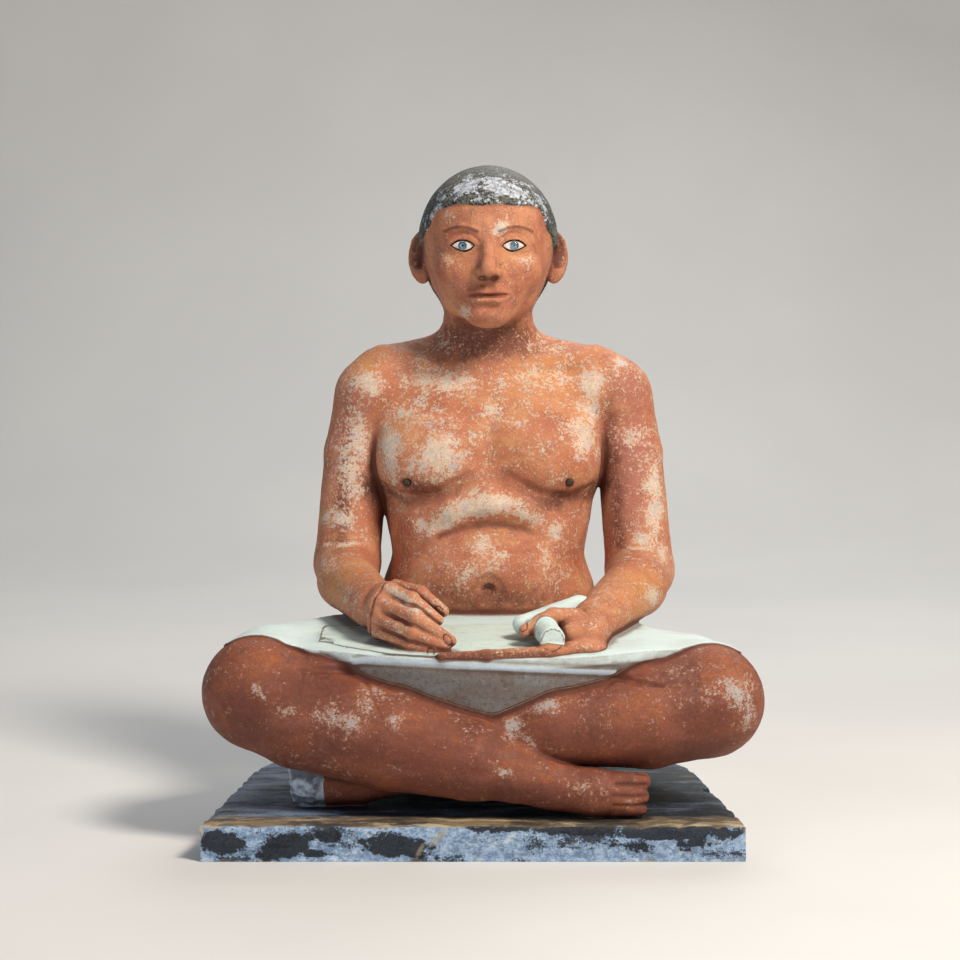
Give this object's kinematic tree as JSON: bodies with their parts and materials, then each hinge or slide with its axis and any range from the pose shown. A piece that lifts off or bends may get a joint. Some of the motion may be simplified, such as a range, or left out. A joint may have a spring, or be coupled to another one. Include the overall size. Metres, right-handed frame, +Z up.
{
  "type": "seated scribe statue",
  "caption": "Painted limestone figure of a cross-legged scribe in a short kilt, with a papyrus roll on the lap, inlaid eyes and a D-shaped plinth.",
  "frame": {"origin": "middle of the plinth's underside, which is the face that the statue stands on", "axes": "+Z up through the head, -Y the way the figure looks, +X towards the figure's left"},
  "size_m": [0.4439, 0.35, 0.5378],
  "materials": {
    "painted_limestone": "matt and worn: red-brown skin, black hair and plinth, off-white kilt and papyrus, bare pale stone where paint is lost",
    "copper_rim": "dark, dull copper alloy",
    "eye_stone": "fine white stone, softly polished",
    "rock_crystal": "polished clear rock crystal",
    "dark_wood": "dark, dry wood"
  },
  "bodies": {
    "root": {"scribe_stone": "painted_limestone", "eye_rim_right": "copper_rim", "eye_rim_left": "copper_rim", "eye_white_right": "eye_stone", "eye_white_left": "eye_stone", "eye_crystal_right": "rock_crystal", "eye_crystal_left": "rock_crystal", "nipple_peg_right": "dark_wood", "nipple_peg_left": "dark_wood"}
  },
  "joints": []
}
